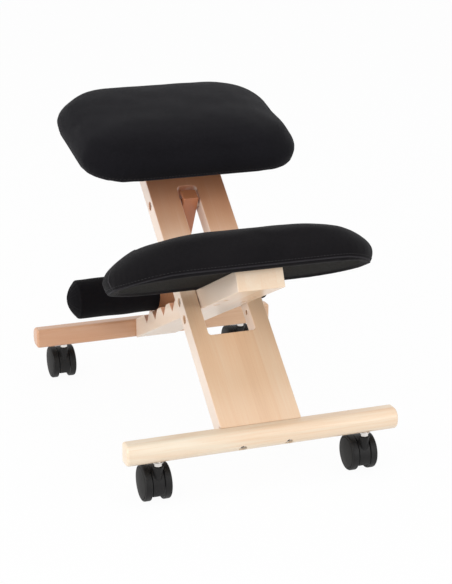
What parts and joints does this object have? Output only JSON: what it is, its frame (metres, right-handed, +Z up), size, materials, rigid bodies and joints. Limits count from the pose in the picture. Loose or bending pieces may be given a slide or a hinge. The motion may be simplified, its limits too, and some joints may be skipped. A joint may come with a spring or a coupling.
{
  "type": "kneeling chair",
  "caption": "Wooden kneeling chair on casters: crossing board and beam, notched height prop, padded seat, knee pad and ankle rolls.",
  "frame": {"origin": "on the floor, below the middle of the chair", "axes": "+Z up, +Y from the knee pad to the seat and the ankle rolls, +X across the chair"},
  "size_m": [0.48, 0.6746, 0.5816],
  "materials": {
    "beech": "clear lacquered beech, satin",
    "plywood": "plywood under a black lining cloth",
    "cushion_cloth": "fine woven cloth, matt",
    "roll_cloth": "fine woven cloth, matt",
    "zinc_steel": "zinc plated, satin",
    "caster_black": "moulded nylon, satin",
    "wheel_grey": "moulded nylon, satin"
  },
  "bodies": {
    "seat_frame": {"main_board": "beech", "front_crossbar": "beech", "front_bar_bolt_left": "zinc_steel", "front_bar_bolt_right": "zinc_steel", "seat_support_block": "beech", "seat_base_board": "plywood", "seat_cushion": "cushion_cloth", "seat_screw_1": "zinc_steel", "seat_screw_2": "zinc_steel", "seat_screw_3": "zinc_steel", "seat_screw_4": "zinc_steel", "block_screw_left": "zinc_steel", "block_screw_right": "zinc_steel", "main_pivot_bolt": "zinc_steel", "main_pivot_nut": "zinc_steel", "pivot_washer_left": "zinc_steel", "pivot_washer_right": "zinc_steel", "strut_pivot_bolt": "zinc_steel", "strut_pivot_nut": "zinc_steel", "strut_washer_left": "zinc_steel", "strut_washer_right": "zinc_steel", "caster_socket_front_left": "zinc_steel", "caster_socket_front_right": "zinc_steel"},
    "knee_frame": {"knee_beam": "beech", "rear_crossbar": "beech", "rear_bar_bolt_left": "zinc_steel", "rear_bar_bolt_right": "zinc_steel", "knee_base_board": "plywood", "knee_cushion": "cushion_cloth", "knee_screw_1": "zinc_steel", "knee_screw_2": "zinc_steel", "knee_screw_3": "zinc_steel", "knee_screw_4": "zinc_steel", "caster_socket_rear_left": "zinc_steel", "caster_socket_rear_right": "zinc_steel"},
    "prop": {"prop_strut": "beech", "roll_rod": "zinc_steel", "ankle_roll_left": "roll_cloth", "ankle_roll_right": "roll_cloth"},
    "caster_front_left": {"caster_hood_front_left": "caster_black", "caster_stem_front_left": "zinc_steel", "caster_axle_front_left": "zinc_steel"},
    "wheel_front_left_left": {"wheel_front_left_left": "wheel_grey"},
    "wheel_front_left_right": {"wheel_front_left_right": "wheel_grey"},
    "caster_front_right": {"caster_hood_front_right": "caster_black", "caster_stem_front_right": "zinc_steel", "caster_axle_front_right": "zinc_steel"},
    "wheel_front_right_left": {"wheel_front_right_left": "wheel_grey"},
    "wheel_front_right_right": {"wheel_front_right_right": "wheel_grey"},
    "caster_rear_left": {"caster_hood_rear_left": "caster_black", "caster_stem_rear_left": "zinc_steel", "caster_axle_rear_left": "zinc_steel"},
    "wheel_rear_left_left": {"wheel_rear_left_left": "wheel_grey"},
    "wheel_rear_left_right": {"wheel_rear_left_right": "wheel_grey"},
    "caster_rear_right": {"caster_hood_rear_right": "caster_black", "caster_stem_rear_right": "zinc_steel", "caster_axle_rear_right": "zinc_steel"},
    "wheel_rear_right_left": {"wheel_rear_right_left": "wheel_grey"},
    "wheel_rear_right_right": {"wheel_rear_right_right": "wheel_grey"}
  },
  "joints": [
    {"name": "frame_fold", "type": "hinge", "parent": "seat_frame", "child": "knee_frame", "pos_m": [0, -0.09801, 0.26586], "axis": [-1, 0, 0], "range_deg": [0, 44]},
    {"name": "strut_swing", "type": "hinge", "parent": "seat_frame", "child": "prop", "pos_m": [0, 0.06364, 0.39723], "axis": [-1, 0, 0], "range_deg": [0, 36.1]},
    {"name": "swivel_front_left", "type": "hinge", "parent": "seat_frame", "child": "caster_front_left", "pos_m": [-0.184, -0.3203, 0.0748], "axis": [0, 0, 1], "continuous": true},
    {"name": "spin_front_left_left", "type": "hinge", "parent": "caster_front_left", "child": "wheel_front_left_left", "pos_m": [-0.184, -0.2983, 0.031], "axis": [1, 0, 0], "continuous": true},
    {"name": "spin_front_left_right", "type": "hinge", "parent": "caster_front_left", "child": "wheel_front_left_right", "pos_m": [-0.184, -0.2983, 0.031], "axis": [1, 0, 0], "continuous": true},
    {"name": "swivel_front_right", "type": "hinge", "parent": "seat_frame", "child": "caster_front_right", "pos_m": [0.184, -0.3203, 0.0748], "axis": [0, 0, 1], "continuous": true},
    {"name": "spin_front_right_left", "type": "hinge", "parent": "caster_front_right", "child": "wheel_front_right_left", "pos_m": [0.184, -0.2983, 0.031], "axis": [1, 0, 0], "continuous": true},
    {"name": "spin_front_right_right", "type": "hinge", "parent": "caster_front_right", "child": "wheel_front_right_right", "pos_m": [0.184, -0.2983, 0.031], "axis": [1, 0, 0], "continuous": true},
    {"name": "swivel_rear_left", "type": "hinge", "parent": "knee_frame", "child": "caster_rear_left", "pos_m": [-0.184, 0.2843, 0.0748], "axis": [0, 0, 1], "continuous": true},
    {"name": "spin_rear_left_left", "type": "hinge", "parent": "caster_rear_left", "child": "wheel_rear_left_left", "pos_m": [-0.184, 0.3063, 0.031], "axis": [1, 0, 0], "continuous": true},
    {"name": "spin_rear_left_right", "type": "hinge", "parent": "caster_rear_left", "child": "wheel_rear_left_right", "pos_m": [-0.184, 0.3063, 0.031], "axis": [1, 0, 0], "continuous": true},
    {"name": "swivel_rear_right", "type": "hinge", "parent": "knee_frame", "child": "caster_rear_right", "pos_m": [0.184, 0.2843, 0.0748], "axis": [0, 0, 1], "continuous": true},
    {"name": "spin_rear_right_left", "type": "hinge", "parent": "caster_rear_right", "child": "wheel_rear_right_left", "pos_m": [0.184, 0.3063, 0.031], "axis": [1, 0, 0], "continuous": true},
    {"name": "spin_rear_right_right", "type": "hinge", "parent": "caster_rear_right", "child": "wheel_rear_right_right", "pos_m": [0.184, 0.3063, 0.031], "axis": [1, 0, 0], "continuous": true}
  ],
  "couplings": [
    {"joint": "strut_swing", "follows": "frame_fold", "ratio": 0.82}
  ]
}
